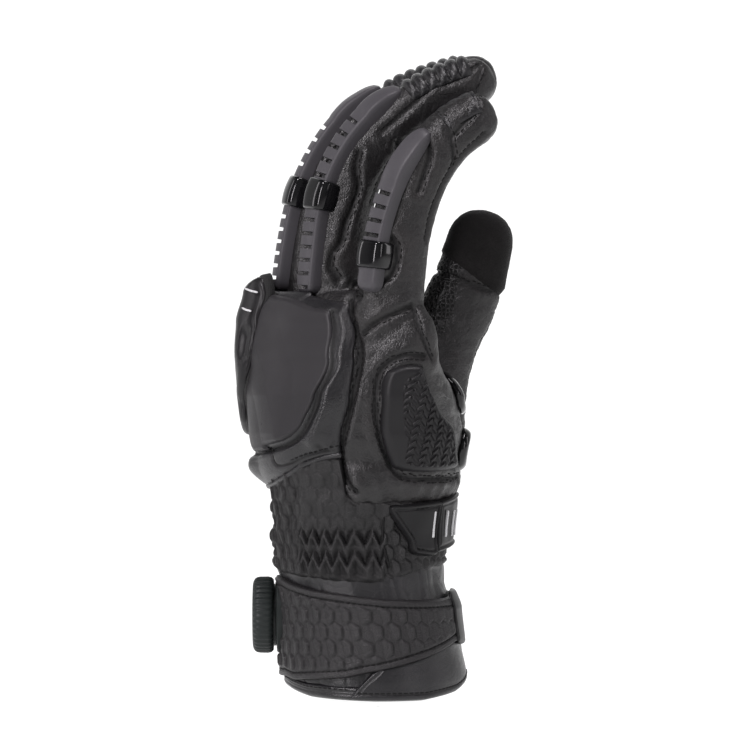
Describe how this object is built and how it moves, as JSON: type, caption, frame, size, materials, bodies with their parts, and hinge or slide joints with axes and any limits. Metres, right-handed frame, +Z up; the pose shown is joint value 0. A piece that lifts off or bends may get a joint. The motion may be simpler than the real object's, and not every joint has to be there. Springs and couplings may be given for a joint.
{
  "type": "armoured riding glove",
  "caption": "Right-hand leather riding glove with knuckle and finger armour, palm pads, a gathered wrist and a cuff strap closed by a turning reel.",
  "frame": {"origin": "middle of the footprint, on the plane the cuff's rim stands on", "axes": "+Z up along the forearm towards the fingertips, -X the back of the hand, +X the palm, -Y the little-finger side, +Y the thumb side"},
  "size_m": [0.1132, 0.1022, 0.2638],
  "materials": {
    "leather": "black full-grain leather, fine grain, soft sheen",
    "embossed_leather": "black leather embossed with small hexagons",
    "lining": "black knitted lining",
    "foam": "black foam-backed textile",
    "suede": "black suede, matt",
    "armour": "dark grey soft-touch moulded rubber",
    "knuckle_plastic": "black satin moulded shell",
    "rubber_pad": "charcoal moulded pad, matt",
    "gloss_plastic": "polished black plastic",
    "reel_plastic": "dark grey-green moulded plastic, satin",
    "steel_cable": "fine braided steel cable"
  },
  "bodies": {
    "hand": {"hand_palm": "leather", "hand_back": "leather", "rim_binding": "leather", "cuff_shell": "leather", "wrist_gather": "embossed_leather", "cuff_lining": "lining", "closure_strap": "embossed_leather", "strap_end_plate": "reel_plastic", "wrist_strap": "leather", "back_pad": "leather", "back_armour": "armour", "knuckle_foam": "foam", "knuckle_armour": "knuckle_plastic", "heel_slider": "rubber_pad", "palm_slider_lower": "gloss_plastic", "palm_slider_upper": "gloss_plastic", "reel_flange": "reel_plastic", "reel_housing": "reel_plastic", "lace_guide": "reel_plastic", "lace": "steel_cable"},
    "index_prox": {"index_proximal": "leather", "index_spine_lower": "armour", "index_guide_clip": "gloss_plastic"},
    "index_dist": {"index_distal": "leather", "index_spine_upper": "armour", "index_stretch_ribs": "leather"},
    "middle_prox": {"middle_proximal": "leather", "middle_spine_lower": "armour", "middle_guide_clip": "gloss_plastic"},
    "middle_dist": {"middle_distal": "leather", "middle_spine_upper": "armour", "middle_stretch_ribs": "leather"},
    "ring_prox": {"ring_proximal": "leather", "ring_spine_lower": "armour", "ring_guide_clip": "gloss_plastic"},
    "ring_dist": {"ring_distal": "leather", "ring_spine_upper": "armour", "ring_stretch_ribs": "leather"},
    "little_prox": {"little_proximal": "leather", "little_spine_lower": "armour", "little_guide_clip": "gloss_plastic"},
    "little_dist": {"little_distal": "leather", "little_spine_upper": "armour", "little_stretch_ribs": "leather"},
    "thumb_prox": {"thumb_proximal": "leather"},
    "thumb_dist": {"thumb_distal": "leather", "thumb_tip_cap": "suede"},
    "clutch": {"reel_clutch": "reel_plastic"},
    "dial": {"reel_dial": "reel_plastic"},
    "spool": {"reel_spool": "reel_plastic"},
    "tab": {"wrist_tab": "rubber_pad"}
  },
  "joints": [
    {"name": "index_knuckle", "type": "hinge", "parent": "hand", "child": "index_prox", "pos_m": [-0.01639, 0.03859, 0.176], "axis": [0, 1, 0], "range_deg": [-6, 20], "stiffness_Nm_per_rad": 0.4},
    {"name": "index_bend", "type": "hinge", "parent": "index_prox", "child": "index_dist", "pos_m": [-0.00639, 0.03859, 0.219], "axis": [0, 1, 0], "range_deg": [-6, 20], "stiffness_Nm_per_rad": 0.3},
    {"name": "middle_knuckle", "type": "hinge", "parent": "hand", "child": "middle_prox", "pos_m": [-0.02439, 0.01459, 0.18], "axis": [0, 1, 0], "range_deg": [-6, 38], "stiffness_Nm_per_rad": 0.4},
    {"name": "middle_bend", "type": "hinge", "parent": "middle_prox", "child": "middle_dist", "pos_m": [-0.01139, 0.01459, 0.221], "axis": [0, 1, 0], "range_deg": [-6, 38], "stiffness_Nm_per_rad": 0.3},
    {"name": "ring_knuckle", "type": "hinge", "parent": "hand", "child": "ring_prox", "pos_m": [-0.01549, -0.00941, 0.177], "axis": [0, 1, 0], "range_deg": [-6, 42], "stiffness_Nm_per_rad": 0.4},
    {"name": "ring_bend", "type": "hinge", "parent": "ring_prox", "child": "ring_dist", "pos_m": [-0.00439, -0.00941, 0.22], "axis": [0, 1, 0], "range_deg": [-6, 42], "stiffness_Nm_per_rad": 0.3},
    {"name": "little_knuckle", "type": "hinge", "parent": "hand", "child": "little_prox", "pos_m": [0.00599, -0.03341, 0.169], "axis": [0, 1, 0], "range_deg": [-6, 45], "stiffness_Nm_per_rad": 0.4},
    {"name": "little_bend", "type": "hinge", "parent": "little_prox", "child": "little_dist", "pos_m": [0.01561, -0.03341, 0.209], "axis": [0, 1, 0], "range_deg": [-6, 45], "stiffness_Nm_per_rad": 0.3},
    {"name": "thumb_base", "type": "hinge", "parent": "hand", "child": "thumb_prox", "pos_m": [0.02861, 0.03859, 0.15], "axis": [-1, 0, 0], "range_deg": [-24, 4], "stiffness_Nm_per_rad": 0.4},
    {"name": "thumb_bend", "type": "hinge", "parent": "thumb_prox", "child": "thumb_dist", "pos_m": [0.03661, 0.03859, 0.168], "axis": [-1, 0, 0], "range_deg": [-24, 4], "stiffness_Nm_per_rad": 0.3},
    {"name": "dial_pull", "type": "slide", "parent": "hand", "child": "clutch", "axis": [-1, 0, 0], "range_m": [0, 0.0025]},
    {"name": "dial_turn", "type": "hinge", "parent": "clutch", "child": "dial", "pos_m": [-0.0444, 0.00259, 0.0365], "axis": [-1, 0, 0], "continuous": true},
    {"name": "spool_turn", "type": "hinge", "parent": "hand", "child": "spool", "pos_m": [-0.0444, 0.00259, 0.0365], "axis": [-1, 0, 0], "continuous": true},
    {"name": "tab_peel", "type": "hinge", "parent": "hand", "child": "tab", "pos_m": [0.0261, -0.0224, 0.0712], "axis": [0, 0, 1], "range_deg": [0, 60], "stiffness_Nm_per_rad": 0.05}
  ],
  "couplings": [
    {"joint": "spool_turn", "follows": "dial_turn", "ratio": 1}
  ]
}
